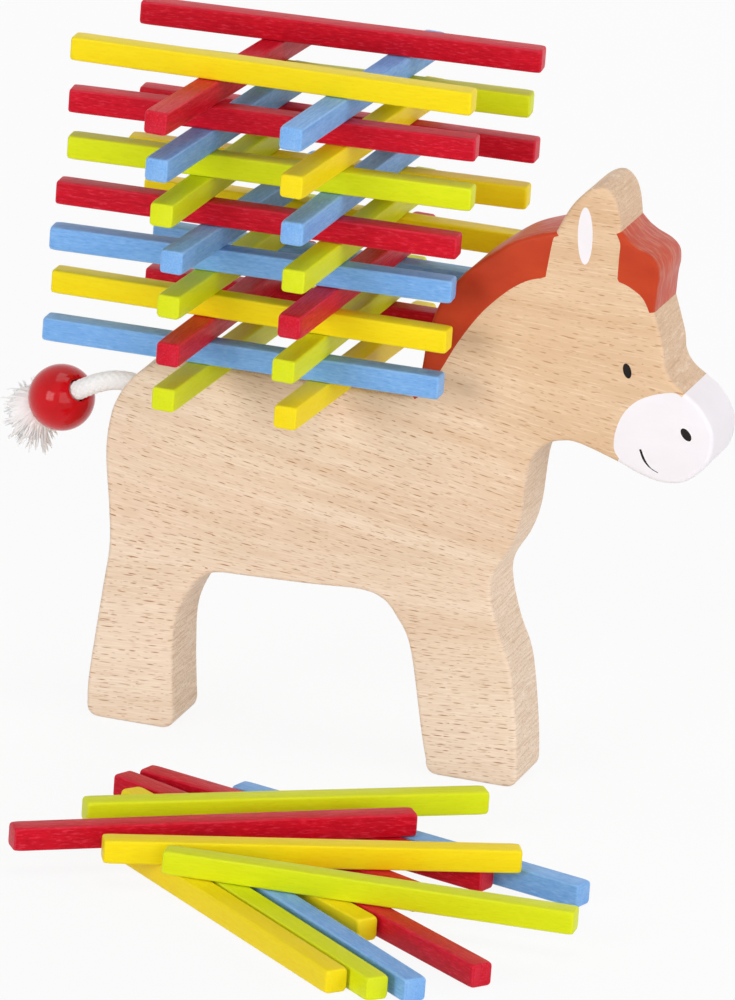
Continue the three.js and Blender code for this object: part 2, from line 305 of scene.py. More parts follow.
def stained_wood(name, colour, deeper, lighter, mottle):
    """Stain on a stick's wood; the stick's own place along and across its length steers the grain."""
    paint = Paint(name)
    grain = paint.add("Attribute", {}, output="Vector", attribute_name="grain")
    edge = paint.add("Attribute", {}, output="Fac", attribute_name="edge")
    fibres = paint.noise(grain, (9, 0.5, 0.5), detail=3.0, roughness=0.65)
    cloud = paint.noise(grain, (12, 3.0, 3.0), detail=2.0)
    specks = paint.noise(grain, (2.2, 0.45, 0.45), detail=2.0, roughness=0.6)
    pores = paint.flecks(grain, (4.2, 1.3, 1.1), (0.4, 1.2), (0.1, 0.17))
    base = paint.mix(paint.range(cloud, 0.35, 0.7, 0.0, 0.5 * mottle), colour, deeper)
    base = paint.mix(paint.range(fibres, 0.42, 0.7, 0.0, 0.6 * mottle), base, deeper)
    base = paint.mix(paint.range(specks, 0.52, 0.7, 0.0, 0.8 * mottle), base, deeper)
    base = paint.mix(paint.range(specks, 0.46, 0.3, 0.0, 0.55 * mottle), base, lighter)
    base = paint.mix(paint.math("MULTIPLY", pores, 0.7 * mottle), base, deeper)
    # Lighter along the rounded edges: partly wear, partly a painted highlight.
    wear_and_highlight = paint.math("MULTIPLY", edge, paint.range(cloud, 0.35, 0.65, 0.1, 0.5))
    base = paint.mix(wear_and_highlight, base, lighter)
    paint.set(base_color=base, roughness=paint.range(fibres, 0.3, 0.7, 0.38, 0.52))
    paint.set(normal=paint.bump(paint.math("SUBTRACT", fibres, pores), 0.02, 0.6))
    paint.gloss(0.34, 0.3)
    return paint.material


def lacquer(name, colour, deeper):
    """Glossy lacquer with a faint unevenness."""
    paint = Paint(name)
    place = paint.place()
    cloud = paint.noise(place, (5, 5, 5), detail=2.0)
    paint.set(base_color=paint.mix(paint.range(cloud, 0.3, 0.7), deeper, colour))
    paint.set(roughness=paint.range(cloud, 0.3, 0.7, 0.1, 0.15))
    paint.set(normal=paint.bump(paint.noise(place, (2.2, 2.2, 2.2), detail=1.0), 0.02, 0.25))
    paint.gloss(0.45, 0.4)
    paint.shader.inputs["Coat Weight"].default_value = 0.05
    paint.shader.inputs["Coat Roughness"].default_value = 0.04
    return paint.material


def cotton():
    """White cotton with a fine fuzz."""
    paint = Paint("cotton")
    place = paint.place()
    fuzz = paint.noise(place, (0.25, 0.25, 0.25), detail=2.0)
    cloud = paint.noise(place, (2.5, 2.5, 2.5), detail=2.0)
    base = paint.mix(paint.range(cloud, 0.3, 0.7), linear(250, 248, 247), linear(253, 252, 252))
    base = paint.mix(paint.range(fuzz, 0.4, 0.7, 0.0, 0.3), base, linear(243, 240, 239))
    paint.set(base_color=base, roughness=paint.range(fuzz, 0.3, 0.7, 0.85, 1.0))
    paint.set(normal=paint.bump(fuzz, 0.06, 0.6))
    paint.gloss(0.2, 0.5)
    paint.shader.inputs["Sheen Weight"].default_value = 0.25
    return paint.material


BEECH = beech()
# The mane's pale edge streaks are partly a painted sheen.
MANE_RED = brushed_paint("mane_red", linear(199, 70, 36), linear(186, 60, 32), 0.42,
                         thin_coat_and_sheen=linear(206, 138, 112))
MUZZLE_WHITE = brushed_paint("muzzle_white", linear(247, 242, 247), linear(243, 238, 243), 0.45)
FACE_BLACK = brushed_paint("face_black", linear(40, 34, 33), linear(30, 26, 26), 0.35)
COTTON = cotton()
BEAD_RED = lacquer("bead_red", linear(210, 12, 26), linear(196, 8, 18))
STICK_STAINS = {
    "stick_red": stained_wood("stick_red", linear(212, 16, 41), linear(177, 8, 30),
                              linear(227, 64, 86), 0.85),
    "stick_yellow": stained_wood("stick_yellow", linear(247, 222, 20), linear(236, 203, 13),
                                 linear(247, 228, 50), 0.4),
    "stick_lime": stained_wood("stick_lime", linear(220, 229, 22), linear(202, 212, 16),
                               linear(226, 234, 60), 0.4),
    "stick_blue": stained_wood("stick_blue", linear(130, 181, 238), linear(94, 148, 216),
                               linear(162, 203, 244), 0.7),
}


# Mesh helpers

def add_piece(name, vertices, faces, materials, body, nodes):
    mesh = bpy.data.meshes.new(name)
    mesh.from_pydata([tuple(v) for v in vertices], [], faces)
    for material in materials:
        mesh.materials.append(material)
    piece = bpy.data.objects.new(name, mesh)
    bpy.context.collection.objects.link(piece)
    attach(piece, body)
    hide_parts(*nodes)
    return piece


def smooth(mesh, sharp_degrees=None):
    mesh.polygons.foreach_set("use_smooth", [True] * len(mesh.polygons))
    if sharp_degrees is not None:
        mesh.set_sharp_from_angle(angle=math.radians(sharp_degrees))
    mesh.update()


def catmull(p0, p1, p2, p3, t):
    out = (p2 - p0) / 2
    into = (p3 - p1) / 2
    return ((2 * p1 - 2 * p2 + out + into) * t ** 3
            + (3 * p2 - 3 * p1 - 2 * out - into) * t ** 2 + out * t + p1)


def spline(points, steps):
    """A smooth run through the points, without the last one."""
    points = [Vector(p) for p in points]
    last = len(points) - 1
    run = []
    for i in range(last):
        near = [points[min(max(i + k, 0), last)] for k in (-1, 0, 1, 2)]
        run += [catmull(*near, step / steps) for step in range(steps)]
    return run


def whole_spline(points, steps):
    """A smooth run through all the points."""
    return spline(points, steps) + [Vector(points[-1])]


def heading(run, i):
    """Direction of a run of points at one of them."""
    return (run[min(i + 1, len(run) - 1)] - run[max(i - 1, 0)]).normalized()


def across(axis):
    """Two directions square to an axis and to each other."""
    side = axis.orthogonal().normalized()
    return side, axis.cross(side).normalized()


def around(k, sides, side, up):
    """Direction number k of so many that go round an axis."""
    angle = 2 * math.pi * k / sides
    return math.cos(angle) * side + math.sin(angle) * up


def tube_faces(rings, sides, first=0):
    """Faces of a closed tube whose rings of points follow each other from the point first on."""
    faces = []
    for ring in range(rings - 1):
        for k in range(sides):
            a = first + ring * sides + k
            b = first + ring * sides + (k + 1) % sides
            faces.append((a, b, b + sides, a + sides))
    faces.append(tuple(first + k for k in reversed(range(sides))))
    faces.append(tuple(first + (rings - 1) * sides + k for k in range(sides)))
    return faces


def lathe(profile, start, axis, sides, closed):
    """A turned form: (radius, distance along the axis) pairs, with points on the axis kept single."""
    side, up = across(axis)
    vertices, rings, faces = [], [], []
    for radius, along in profile:
        middle = start + along * axis
        count = sides if radius > 1e-6 else 1
        rings.append(range(len(vertices), len(vertices) + count))
        for k in range(count):
            vertices.append(at(*(middle + radius * around(k, sides, side, up))))
    pairs = list(zip(rings, rings[1:])) + ([(rings[-1], rings[0])] if closed else [])
    for low, high in pairs:
        for k in range(sides):
            n = (k + 1) % sides
            corners = [low[k % len(low)], low[n % len(low)], high[n % len(high)], high[k % len(high)]]
            corners = list(dict.fromkeys(corners))
            if len(corners) > 2:
                faces.append(tuple(corners))
    return vertices, faces


# Tail: the cord's route is the one that its CAD solid follows.

BEAD_AXIS = Vector((0.723, -0.478, 0.499)).normalized()
BEAD_RADIUS = 8.5
CORD_RADIUS = 2.5
BORE_RADIUS = CORD_RADIUS + 0.35
HOLE_TILT = 4.0
MOUTH = Vector((TAIL_MOUTH[0], 0.0, TAIL_MOUTH[1]))
OUTWARD = Vector((-math.cos(math.radians(HOLE_TILT)), 0.0, math.sin(math.radians(HOLE_TILT))))
DOWN = Vector((0, 0, -1))
BEAD_CENTRE = MOUTH + Vector((-20.4, 6.0, -8.9))
END_GAP = 0.3
ROOT_DEPTH = 1.2
STRAIGHT_START = 1.0
START_PULL = 5.0
END_PULL = 6.5
BEND_STEPS = 8
ROUTE_STEPS = 18


def bend(start, end, first, last, steps):
    """The cord's bend: from start, pulled by the point first, then by the point last, to end."""
    run = []
    for step in range(steps + 1):
        t = step / steps
        u = 1 - t
        run.append(u ** 3 * start + 3 * u * u * t * first + 3 * u * t * t * last + t ** 3 * end)
    return run


BEND_FROM = MOUTH + STRAIGHT_START * OUTWARD
BEND_TO = BEAD_CENTRE + BEAD_RADIUS * BEAD_AXIS
ROUTE = (
    [MOUTH - ROOT_DEPTH * OUTWARD]
    + bend(BEND_FROM, BEND_TO, BEND_FROM + START_PULL * OUTWARD, BEND_TO + END_PULL * BEAD_AXIS, BEND_STEPS)
    + [BEAD_CENTRE + third / 3 * BEAD_RADIUS * BEAD_AXIS for third in (2, 1, 0, -1, -2)]
    + [BEAD_CENTRE - (BEAD_RADIUS + END_GAP) * BEAD_AXIS]
)


def braid(turn, along):
    """Height of a diamond braid, 0 to 1, at a share of a turn and a distance along the cord."""
    strands, pitch = 8, 15.0
    fullness = 0.6
    level, rise = 0.7, 0.3
    u = strands * (turn + along / pitch)
    v = strands * (turn - along / pitch)
    over = (math.sin(math.pi * (u % 1)) ** fullness
            * (level + rise * math.sin(math.pi * (v + math.floor(u)))))
    under = (math.sin(math.pi * (v % 1)) ** fullness
             * (level - rise * math.sin(math.pi * (u + math.floor(v)))))
    return max(over, under)


def make_cord():
    run = whole_spline(ROUTE, ROUTE_STEPS)
    sides = 64
    relief = 0.3
    vertices = []
    side = None
    length = 0.0
    for i, point in enumerate(run):
        ahead = heading(run, i)
        if side is None:
            side = across(ahead)[0]
        else:
            length += (point - run[i - 1]).length
        side = (side - side.dot(ahead) * ahead).normalized()
        up = ahead.cross(side)
        for k in range(sides):
            radius = CORD_RADIUS - relief * (1 - braid(k / sides, length))
            vertices.append(at(*(point + radius * around(k, sides, side, up))))
    faces = tube_faces(len(run), sides)
    cord = add_piece("tail_cord_braid", vertices, faces, [COTTON], "tail", ["tail_cord"])
    smooth(cord.data, sharp_degrees=50)
    return cord, [at(*p) for p in run], length * MM


def make_bead():
    """Bead with a bore, whose edges are eased by a small lip."""
    lip = 0.35
    first = math.asin((BORE_RADIUS + lip) / BEAD_RADIUS)
    profile = []
    steps = 40
    for step in range(steps + 1):
        angle = math.pi - first - (math.pi - 2 * first) * step / steps
        profile.append((BEAD_RADIUS * math.sin(angle), BEAD_RADIUS * math.cos(angle)))
    end = profile[-1][1]
    profile += [(BORE_RADIUS + 0.3 * lip, end - 0.1 * lip), (BORE_RADIUS, end - 0.8 * lip),
                (BORE_RADIUS, 0.0),
                (BORE_RADIUS, 0.8 * lip - end), (BORE_RADIUS + 0.3 * lip, 0.1 * lip - end)]
    vertices, faces = lathe(profile, BEAD_CENTRE, BEAD_AXIS, sides=72, closed=True)
    bead = add_piece("tail_bead_lacquered", vertices, faces, [BEAD_RED], "tail", ["tail_bead"])
    smooth(bead.data, sharp_degrees=60)
    return bead


# Tuft: (distance behind the bead, radius) of its soft body, then the clumps of strands that cover it.
TUFT = ((0.0, 2.0), (1.2, 3.6), (3.0, 5.6), (5.2, 6.5), (7.2, 5.6), (8.7, 3.2), (9.3, 0.8), (9.35, 0.3))
TUFT_OVERLAP = 0.4
TUFT_DROOP = 2.0
DROOP_REACH = 10
RIDGE_DEPTH = 0.07
RIDGE_START = 4
CLUMPS = 92
RIM_CLUMPS = 44
RIM_SPREAD = (48, 74)
RIM_LENGTH = (8.8, 11.8)
RIM_JITTER = 0.4
RIM_LEAN = 0.5
INNER_SPREAD = 48
INNER_JITTER = 4
INNER_LENGTH = (9.0, 10.8)
CLUMP_DROOP = (0.8, 3.0)
CLUMP_BOW = 0.3
STRANDS = 5
STRAND_JOINTS = 10
STRAND_SIDES = 6
STRAND_GIRTH = (0.22, 0.38)
STRAND_SHARE = (0.84, 1.06)
STRAND_SPLAY = 0.3
STRAND_ARCH = 0.7
ROOT_AHEAD = 1.6
ROOT_SPREAD = 2.4
ROOT_SCATTER = 0.4
TIP_SCATTER = 0.35
TIP_THINNING = 0.8
TIP_TAPER = 2.5
OWN_SHADING = 0.4
GOLDEN_ANGLE = math.pi * (3 - math.sqrt(5))


def ridge(angle):
    """Height of the tuft's ridges, about -1 to 1, round its axis."""
    return (0.45 * math.sin(19 * angle + 1.3) + 0.35 * math.sin(31 * angle + 2 * math.sin(angle))
            + 0.3 * math.sin(47 * angle + 2.1))


def tuft_body(start, axis, side, up):
    """Soft body of the tuft: a drooping bulb whose ridges run from the bead to its end."""
    sides = 160
    vertices = []
    rings = whole_spline(TUFT, 3)
    for along, radius in rings:
        middle = start + along * axis + TUFT_DROOP * (along / DROOP_REACH) ** 2 * DOWN
        depth = RIDGE_DEPTH * min(along / RIDGE_START, 1.0)
        for k in range(sides):
            reach = radius * (1 + depth * ridge(2 * math.pi * k / sides))
            vertices.append(at(*(middle + reach * around(k, sides, side, up))))
    return vertices, tube_faces(len(rings), sides)


def strand_path(root, end, axis, splay):
    """An arched run from root to end that is pushed aside by splay in its middle."""
    arch = (root + end) / 2 + STRAND_ARCH * axis
    path = []
    for joint in range(STRAND_JOINTS + 1):
        t = joint / STRAND_JOINTS
        point = (1 - t) ** 2 * root + 2 * t * (1 - t) * arch + t * t * end
        path.append(point + splay * math.sin(math.pi * t))
    return path


def strand_rings(path, girth, side, lean):
    """Points of a strand that thins towards its tip, and the direction each is shaded by."""
    vertices, shading = [], []
    for joint, point in enumerate(path):
        ahead = heading(path, joint)
        side = (side - side.dot(ahead) * ahead).normalized()
        up = ahead.cross(side)
        radius = girth * (1 - TIP_THINNING * (joint / STRAND_JOINTS) ** TIP_TAPER)
        for k in range(STRAND_SIDES):
            way = around(k, STRAND_SIDES, side, up)
            vertices.append(at(*(point + radius * way)))
            shading.append((OWN_SHADING * way + (1 - OWN_SHADING) * lean).normalized())
    return vertices, shading


def make_tassel():
    """Frayed cord end behind the bead: a soft tuft with clumps of strands that fan out and droop."""
    rng = random.Random(7)
    axis = -BEAD_AXIS
    side, up = across(axis)
    start = BEAD_CENTRE + (BEAD_RADIUS - TUFT_OVERLAP) * axis
    vertices, faces = tuft_body(start, axis, side, up)
    shading = [None] * len(vertices)

    def scatter(size):
        return Vector([rng.gauss(0, size) for _ in range(3)])

    for clump in range(CLUMPS):
        on_rim = clump < RIM_CLUMPS
        if on_rim:
            turn = 2 * math.pi * (clump + rng.uniform(-RIM_JITTER, RIM_JITTER)) / RIM_CLUMPS
            spread = math.radians(rng.uniform(*RIM_SPREAD))
            length = rng.uniform(*RIM_LENGTH)
        else:
            share = math.sqrt((clump - RIM_CLUMPS + 0.5) / (CLUMPS - RIM_CLUMPS))
            turn = GOLDEN_ANGLE * clump
            spread = math.radians(INNER_SPREAD * share + rng.uniform(-INNER_JITTER, INNER_JITTER))
            length = rng.uniform(*INNER_LENGTH)
        outward = math.cos(turn) * side + math.sin(turn) * up
        tip = length * (math.cos(spread) * axis + math.sin(spread) * outward)
        lean = (outward - RIM_LEAN * axis).normalized() if on_rim else tip.normalized()
        tip += rng.uniform(*CLUMP_DROOP) * DOWN
        bow = scatter(CLUMP_BOW)
        foot = start + ROOT_AHEAD * axis + ROOT_SPREAD * math.sin(spread) * outward
        for _ in range(STRANDS):
            root = foot + scatter(ROOT_SCATTER)
            end = start + tip * rng.uniform(*STRAND_SHARE) + scatter(TIP_SCATTER)
            splay = scatter(STRAND_SPLAY) + bow
            girth = rng.uniform(*STRAND_GIRTH)
            points, ways = strand_rings(strand_path(root, end, axis, splay), girth, side, lean)
            faces += tube_faces(STRAND_JOINTS + 1, STRAND_SIDES, len(vertices))
            vertices += points
            shading += ways
    tassel = add_piece("tail_tassel_strands", vertices, faces, [COTTON], "tail", ["tail_tassel"])
    smooth(tassel.data)
    normals = [Vector(v.normal) for v in tassel.data.vertices]
    # Strands are shaded as parts of one soft tuft.
    tassel.data.normals_split_custom_set_from_vertices(
        [tuple(way or normal) for way, normal in zip(shading, normals)])
    return tassel


cord, cord_path, cord_length = make_cord()
bead = make_bead()
tassel = make_tassel()
root = frame["nodes"]["tail_cord_root"]
root.data.materials.clear()
root.data.materials.append(COTTON)


# Donkey board

def offsets(x, z, *pairs):
    """Points given by their distances from one place."""
    return [(x + dx, z + dz) for dx, dz in pairs]


def trunk(x, *pairs):
    """Points given by a distance from x and a share of the trunk's height."""
    return [(x + dx, BELLY + share * BARREL) for dx, share in pairs]


def corner(start, middle, end, steps=8):
    """A rounded corner, without its last point."""
    start, middle, end = Vector(start), Vector(middle), Vector(end)
    return [start.lerp(middle, k / steps).lerp(middle.lerp(end, k / steps), k / steps)
            for k in range(steps)]


def board_outline():
    """The outline, counter-clockwise seen from the heap, and the index where each stretch starts."""
    steps = 12
    run, marks = [], {}

    def stretch(name, points):
        marks[name] = len(run)
        run.extend(points)

    stretch("rump", spline(
        [(BACK_END, BACK), (BACK_END - 3.7, BACK - 2.4), (BACK_END - 7.8, BACK - 6.2), TAIL_MOUTH]
        + trunk(HIND_HEEL, (1.3, 0.685), (0.6, 0.5), (2.3, 0.235), (3.1, 0.04))
        + [(HIND_HEEL + 2, BELLY - 10), (HIND_HEEL, HOOF_CORNER + 0.2 * LEG),
           (HIND_HEEL, HOOF_CORNER)], steps))
    stretch("hind_heel", corner((HIND_HEEL, HOOF_CORNER), (HIND_HEEL, 0), (HIND_HEEL + HOOF_CORNER, 0)))
    stretch("hind_sole", [Vector((HIND_HEEL + HOOF_CORNER, 0))])
    stretch("hind_toe", corner((HIND_TOE - HOOF_CORNER, 0), (HIND_TOE, 0), (HIND_TOE, HOOF_CORNER)))
    stretch("hind_inside", spline(
        [(HIND_TOE, HOOF_CORNER), (HIND_TOE - 1.2, HOOF_CORNER + 0.35 * LEG)]
        + offsets(HIND_TOE, BELLY, (-1.2, -14.5), (2.1, -5.8), (6, -1.2), (10, 0)), steps))
    stretch("belly", spline(
        [(HIND_TOE + 10, BELLY)]
        + offsets(FORE_HEEL, BELLY, (-34, 0.9), (-21, 1.7), (-14.6, 0.4), (-10.4, -3.7), (-6.2, -11.4))
        + [(FORE_HEEL - 1.9, HOOF_CORNER + 0.2 * LEG), (FORE_HEEL, HOOF_CORNER)], steps))
    stretch("fore_heel", corner((FORE_HEEL, HOOF_CORNER), (FORE_HEEL, 0), (FORE_HEEL + HOOF_CORNER, 0)))
    stretch("fore_sole", [Vector((FORE_HEEL + HOOF_CORNER, 0))])
    stretch("fore_toe", corner((FORE_TOE - HOOF_CORNER, 0), (FORE_TOE, 0), (FORE_TOE, HOOF_CORNER)))
    stretch("chest", spline(
        [(FORE_TOE, HOOF_CORNER), (FORE_TOE - 0.9, HOOF_CORNER + 0.25 * LEG)]
        + offsets(FORE_TOE, BELLY, (-3.6, -13.5), (-7.5, -4))
        + trunk(FORE_TOE, (-10.2, 0.095), (-10.2, 0.21), (-6.4, 0.35), (-4.3, 0.495), (-3, 0.775))
        + offsets(FORE_TOE, BACK, (0.6, -6.4), (5, -4.5), (9.6, -4.6), (19.5, -7.6), (25.5, -9.9),
                  (31.4, -11), (37.4, -9.7), (42.5, -4.4), (43.6, 1.6), (42.3, 6), (38.6, 10.6),
                  (32.2, 15), (29.8, 18.6), (29, 23), (25.9, 32.2)), steps))
    stretch("forelock", spline(offsets(
        FORE_TOE, BACK, (25.9, 32.2), (26.1, 37.8), (26.5, 41.2), (26, 44.2), (23.9, 46.3), (20.1, 48)),
        steps))
    stretch("flare", spline(offsets(FORE_TOE, BACK, (20.1, 48), (17.9, 49.4), (15.8, 51.4)), steps))
    stretch("ear", spline(offsets(
        FORE_TOE, BACK, (15.8, 51.4), (14.9, 56.4), (13.3, 60.1), (10.4, 62.1),
        (6.8, 60.7), (2.6, 55.9), (-0.8, 48.9)), steps))
    stretch("mane", spline(
        offsets(FORE_TOE, BACK, (-0.8, 48.9), (-10, 45.4), (-16.9, 40.5), (-23.8, 34), (-29, 26.4))
        + offsets(MANE_FOOT, BACK, (1.2, 18), (0.2, 9.5), (-0.3, 4.2), (-1.8, 1), (-4.5, 0)), steps))
    stretch("back", [Vector((MANE_FOOT - 4.5, BACK))])
    return run, marks


def inset_directions(run):
    """For each outline point the inward step that moves both neighbouring edges in by one."""
    sharpest = 0.4
    count = len(run)
    steps = []
    for i, point in enumerate(run):
        before = (point - run[i - 1]).normalized()
        after = (run[(i + 1) % count] - point).normalized()
        a, b = Vector((-before.y, before.x)), Vector((-after.y, after.x))
        steps.append((a + b) / max(1 + a.dot(b), sharpest))
    return steps


def ellipse(x, z, half_width, half_height, lean, count):
    """Ellipse that leans towards the head by so many degrees from upright."""
    c, s = math.cos(math.radians(lean)), math.sin(math.radians(lean))
    points = []
    for k in range(count):
        a = half_width * math.cos(2 * math.pi * k / count)
        b = half_height * math.sin(2 * math.pi * k / count)
        points.append(Vector((x + c * a + s * b, z - s * a + c * b)))
    return points


def brush_line(points, half_width, steps):
    """A thin painted line that is fullest near its start and tapers to its end."""
    thinnest, lead = 0.35, 0.28
    run = whole_spline(points, steps)
    sides = ([], [])
    for i, point in enumerate(run):
        way = heading(run, i)
        t = i / (len(run) - 1)
        swell = math.sin(math.pi * min(t + lead, 1.0))
        reach = half_width * (thinnest + (1 - thinnest) * swell)
        square = Vector((-way.y, way.x)) * reach
        sides[0].append(point + square)
        sides[1].append(point - square)
    return sides[0] + sides[1][::-1]


def inside(point, polygon):
    """Whether a point lies within a polygon."""
    hit = False
    for a, b in zip(polygon, polygon[1:] + polygon[:1]):
        if (a.y > point.y) != (b.y > point.y):
            if point.x < a.x + (point.y - a.y) * (b.x - a.x) / (b.y - a.y):
                hit = not hit
    return hit


def nearest(run, low, high, x, z):
    """Index, from low and below high, of the point of a run that is nearest to a place."""
    return min(range(low, high), key=lambda i: (run[i] - Vector((x, z))).length)


WOOD, RED, WHITE, BLACK = range(4)
BOARD_PAINTS = [BEECH, MANE_RED, MUZZLE_WHITE, FACE_BLACK]

# Inner borders of the painted areas that reach the rim
MANE_BORDER = ((43.6, 100.0), (46.8, 106.2), (50.5, 113.6), (55.7, 121.7), (61.7, 128.2), (66.6, 131.8),
               (70.6, 133.3))
MANE_SIDE = ((71.6, 133.8), (71.9, 136.7), (72.5, 141.8), (73.0, 144.2))
FORELOCK_BORDER = ((89.95, 145.2), (89.95, 142.0), (89.95, 138.5), (89.95, 136.2))
FORELOCK_LOW = ((90.4, 135.45), (93.1, 134.6), (96.7, 132.3))
MUZZLE_BORDER = ((106.6, 109.4), (101.7, 108.1), (97.2, 105.6), (94.1, 101.8), (92.5, 96.9), (92.5, 92.6))
BORDER_STEPS = 8

# Places on the outline where the paint ends
MANE_END = (MANE_FOOT - 1.8, BACK + 1)
NOSE_TOP = (109.4, 110.0)
CHIN = (FORE_TOE + 19.5, BACK - 7.6)

# Ovals: middle, half width, half height, lean in degrees and number of points
EYE = (94.3, 113.1, 1.05, 1.95, -18, 40)
NOSTRIL = (110.6, 99.2, 1.05, 1.85, -41, 40)
INNER_EAR = (80.9, 145.8, 1.9, 7.3, -3.5, 56)
MOUTH_LINE = ((99.2, 93.6), (100.4, 91.1), (102.1, 89.3), (104.2, 88.3))
MOUTH_HALF_WIDTH = 0.3


def painted_borders(run, marks, rim):
    """Painted areas that reach the rim: first and last rim index, paint and inner border."""
    foot = nearest(run, marks["mane"], len(run), *MANE_END)
    nose = nearest(run, marks["chest"], marks["forelock"], *NOSE_TOP)
    chin = nearest(run, marks["chest"], marks["forelock"], *CHIN)

    def soft(*points):
        return whole_spline(points, BORDER_STEPS)

    mane = soft(rim[foot], *MANE_BORDER) + soft(*MANE_SIDE, rim[marks["mane"]])
    forelock = soft(rim[marks["ear"]], *FORELOCK_BORDER) + soft(*FORELOCK_LOW, rim[marks["forelock"]])
    muzzle = soft(rim[nose], *MUZZLE_BORDER, rim[chin])
    return [
        (marks["mane"], foot, RED, mane),
        (marks["forelock"], marks["ear"], RED, forelock),
        (chin, nose, WHITE, muzzle),
    ]


def painted_spots():
    """Eye, nostril, mouth and inner ear, each with its paint."""
    return [
        (ellipse(*EYE), BLACK),
        (ellipse(*NOSTRIL), BLACK),
        (brush_line(MOUTH_LINE, MOUTH_HALF_WIDTH, BORDER_STEPS), BLACK),
        (ellipse(*INNER_EAR), WHITE),
    ]


def flat_face(rim, borders, spots):
    """The board's flat face: its points, its triangles and the paint of each triangle."""
    count = len(rim)
    points = list(rim)
    edges = [(i, (i + 1) % count) for i in range(count)]
    areas = []
    for start, end, paint, border in borders:
        inner = border[1:-1]
        first = len(points)
        points += inner
        ids = [rim.index(border[0])] + list(range(first, first + len(inner))) + [rim.index(border[-1])]
        edges += list(zip(ids, ids[1:]))
        areas.append(([rim[i] for i in range(start, end + 1)] + inner, paint))
    for spot, paint in spots:
        ids = list(range(len(points), len(points) + len(spot)))
        points += spot
        edges += list(zip(ids, ids[1:] + ids[:1]))
        areas.append((spot, paint))
    flat, _, cut, _, _, _ = delaunay_2d_cdt(points, edges, [], 0, 1e-6)
    triangles, paints = [], []
    for triangle in cut:
        a, b, c = (flat[i] for i in triangle)
        middle = (a + b + c) / 3
        if not inside(middle, rim):
            continue
        paint = WOOD
        for polygon, colour in areas:
            if inside(middle, polygon):
                paint = colour
        triangles.append(tuple(triangle) if (b - a).cross(c - b) > 0 else tuple(reversed(triangle)))
        paints.append(paint)
    return flat, triangles, paints


def edge_levels(half):
    """Steps over the board's edge, from its near face to its far one: inset and y."""
    bends = 5
    profile = []
    for step in range(1, bends + 1):
        angle = math.pi / 2 * step / bends
        profile.append((EASED_EDGE * (1 - math.sin(angle)), half - EASED_EDGE * (1 - math.cos(angle))))
    return [(inset, -y) for inset, y in profile] + [(inset, y) for inset, y in reversed(profile)]


def make_board():
    run, marks = board_outline()
    count = len(run)
    inward = inset_directions(run)
    rim = [p + EASED_EDGE * d for p, d in zip(run, inward)]
    borders = painted_borders(run, marks, rim)
    flat, triangles, flat_paints = flat_face(rim, borders, painted_spots())

    half = THICKNESS / 2
    vertices = [at(p.x, -half, p.y) for p in flat] + [at(p.x, half, p.y) for p in flat]
    faces, paints = [], []
    for front, paint in zip(triangles, flat_paints):
        faces += [front, tuple(i + len(flat) for i in reversed(front))]
        paints += [paint, paint]

    # Eased edges and the sawn edge between them
    rings = [list(range(count))]
    for inset, y in edge_levels(half):
        rings.append(list(range(len(vertices), len(vertices) + count)))
        vertices += [at(p.x + inset * d.x, y, p.y + inset * d.y) for p, d in zip(run, inward)]
    rings.append([i + len(flat) for i in range(count)])
    rim_paint = [WOOD] * count
    for start, end, paint, _ in borders:
        rim_paint[start:end] = [paint] * (end - start)
    for near, far in zip(rings, rings[1:]):
        for i in range(count):
            n = (i + 1) % count
            faces.append((near[i], far[i], far[n], near[n]))
            paints.append(rim_paint[i])
    board = add_piece("donkey_board", vertices, faces, BOARD_PAINTS, "donkey", ["donkey_body"])
    board.data.polygons.foreach_set("material_index", paints)
    return board


def drill_tail_hole(board):
    """Cuts the blind hole with its eased mouth."""
    depth, bevel = 9.0, 1.5
    profile = [(0, -depth), (BORE_RADIUS, -depth), (BORE_RADIUS, -bevel),
               (BORE_RADIUS + 3 * bevel, 2 * bevel), (0, 2 * bevel)]
    vertices, faces = lathe(profile, MOUTH, OUTWARD, sides=40, closed=False)
    mesh = bpy.data.meshes.new("drill")
    mesh.from_pydata([tuple(v) for v in vertices], [], faces)
    drill = bpy.data.objects.new("drill", mesh)
    bpy.context.collection.objects.link(drill)
    cut = board.modifiers.new("hole", "BOOLEAN")
    cut.operation = "DIFFERENCE"
    cut.solver = "EXACT"
    cut.object = drill
    result = bpy.data.meshes.new_from_object(
        board.evaluated_get(bpy.context.evaluated_depsgraph_get()))
    board.modifiers.clear()
    board.data = result
    bpy.data.objects.remove(drill)


board = make_board()
drill_tail_hole(board)
smooth(board.data, sharp_degrees=40)


# Sticks: each takes its place, length and section from its CAD solid.

WORN_END = 2.4 * MM
STICK_BENDS = 4

# Least and most rounding in millimetres: along a stick, over its ends and at the corners there
CORNER_ROUNDING = (0.46, 0.62)
END_ROUNDING = (0.45, 0.6)
END_CORNER = (0.95, 1.35)

# Each stick's grain starts at a place of its own within this span.
GRAIN_SPAN = 400


def stick_place(node):
    """Middle, direction, half length and half section of a stick's solid."""
    points = [v.co for v in frame["nodes"][node].data.vertices]
    middle = sum(points, Vector()) / len(points)
    away = [p - middle for p in points]
    xx = sum(d.x * d.x for d in away)
    yy = sum(d.y * d.y for d in away)
    xy = sum(d.x * d.y for d in away)
    turn = math.atan2(2 * xy, xx - yy) / 2
    way = Vector((math.cos(turn), math.sin(turn), 0))
    reach = max(d.dot(way) for d in away)
    half = max(d.z for d in away)
    return middle, way, reach, half


def stick_section(half, round_by, shrink):
    """Square with round corners, drawn in by shrink, as (across, up, share of edge)."""
    flat = half - round_by
    size = round_by - shrink
    points = []
    for quarter, (sx, sz) in enumerate(((1, 1), (-1, 1), (-1, -1), (1, -1))):
        for step in range(STICK_BENDS + 1):
            angle = math.pi / 2 * (quarter + step / STICK_BENDS)
            points.append((sx * flat + size * math.cos(angle), sz * flat + size * math.sin(angle),
                           math.sin(math.pi * step / STICK_BENDS)))
    return points


